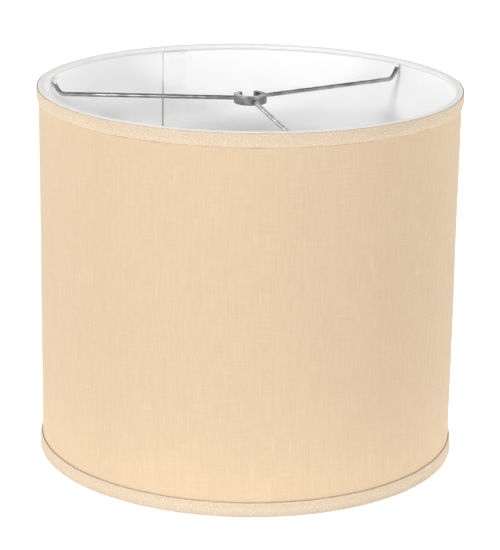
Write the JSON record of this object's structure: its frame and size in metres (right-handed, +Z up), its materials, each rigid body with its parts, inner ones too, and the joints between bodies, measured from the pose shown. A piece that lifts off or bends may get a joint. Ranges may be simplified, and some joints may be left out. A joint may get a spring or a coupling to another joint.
{
  "type": "drum lamp shade",
  "caption": "Straight drum lamp shade in beige linen over a white liner, with bound rims and a recessed spider fitter for a harp.",
  "frame": {"origin": "centre of the bottom rim, on the plane that the shade stands on", "axes": "+Z up along the drum's axis, -Y towards the front, where the lap seam and the hub's slot are at the back"},
  "size_m": [0.3048, 0.3048, 0.27],
  "materials": {
    "linen_cloth": "matte plain-weave slub linen, warm beige",
    "linen_trim": "matte folded linen tape, a little paler than the cover",
    "liner_styrene": "satin white translucent sheet",
    "binding_tape": "matte white tape",
    "clear_tape": "clear double-sided tape",
    "steel_wire": "drawn and zinc plated",
    "hub_steel": "tumbled grey steel",
    "weld_steel": "plated weld bead"
  },
  "bodies": {
    "root": {"fabric_cover": "linen_cloth", "liner": "liner_styrene", "seam_tape": "clear_tape", "top_ring": "steel_wire", "bottom_ring": "steel_wire", "spider_hub": "hub_steel", "spider_arm_left": "steel_wire", "spider_arm_right": "steel_wire", "spider_arm_front": "steel_wire", "arm_weld_left": "weld_steel", "arm_weld_right": "weld_steel", "arm_weld_front": "weld_steel", "top_binding": "binding_tape", "bottom_binding": "binding_tape", "top_trim": "linen_trim", "bottom_trim": "linen_trim"}
  },
  "joints": []
}
